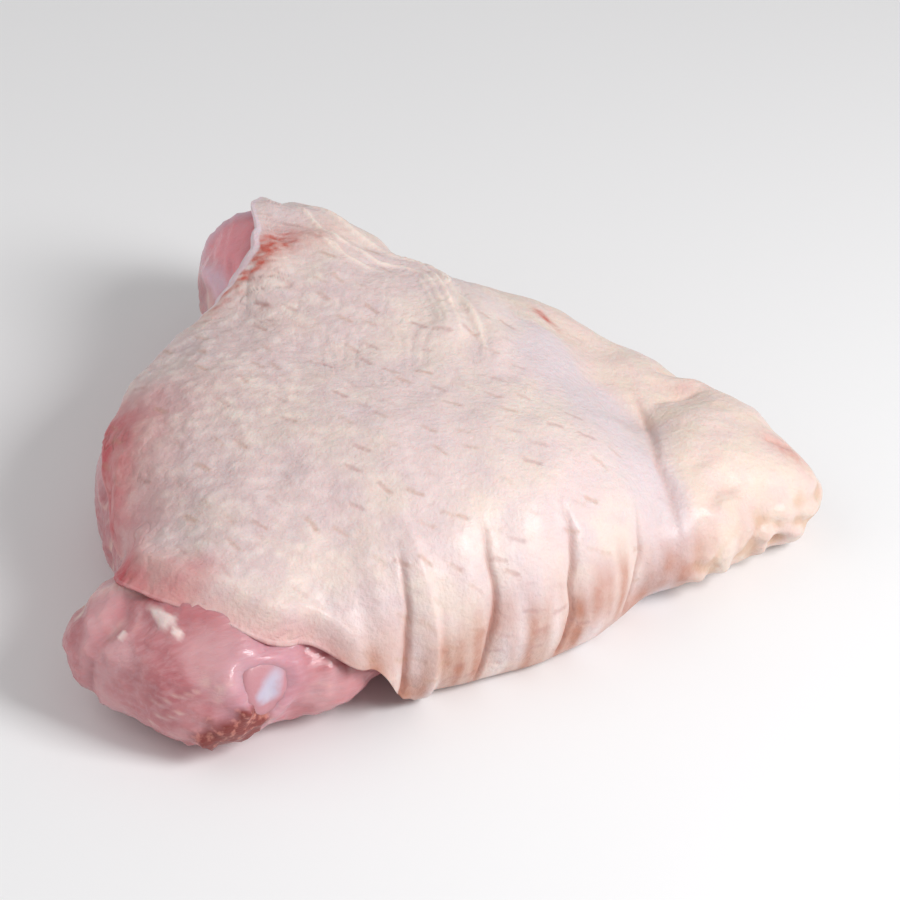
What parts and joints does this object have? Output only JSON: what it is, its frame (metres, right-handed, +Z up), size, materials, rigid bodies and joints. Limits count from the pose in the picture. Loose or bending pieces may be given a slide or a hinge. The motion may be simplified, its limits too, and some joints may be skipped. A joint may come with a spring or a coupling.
{
  "type": "bone-in chicken thigh",
  "caption": "Raw bone-in chicken thigh lying skin side up, with pale skin over red meat, a band and flap of fat, and the knuckle showing at the knee.",
  "frame": {"origin": "on the surface that the thigh lies on, under the middle of its bounding box", "axes": "+X from the knee end toward the loose flap of fat, +Y toward the back where the skin has its lip, +Z up out of the skin side"},
  "size_m": [0.1465, 0.1195, 0.037],
  "materials": {
    "skin": "moist pale pink skin, creamy yellow over the fat, with a fine pattern of feather pits",
    "meat": "wet rosy red meat with pale membrane and fine muscle grain",
    "bone": "smooth bluish white cartilage on the knuckle, off-white bone"
  },
  "bodies": {
    "root": {"skin": "skin", "meat": "meat", "bone": "bone"}
  },
  "joints": []
}
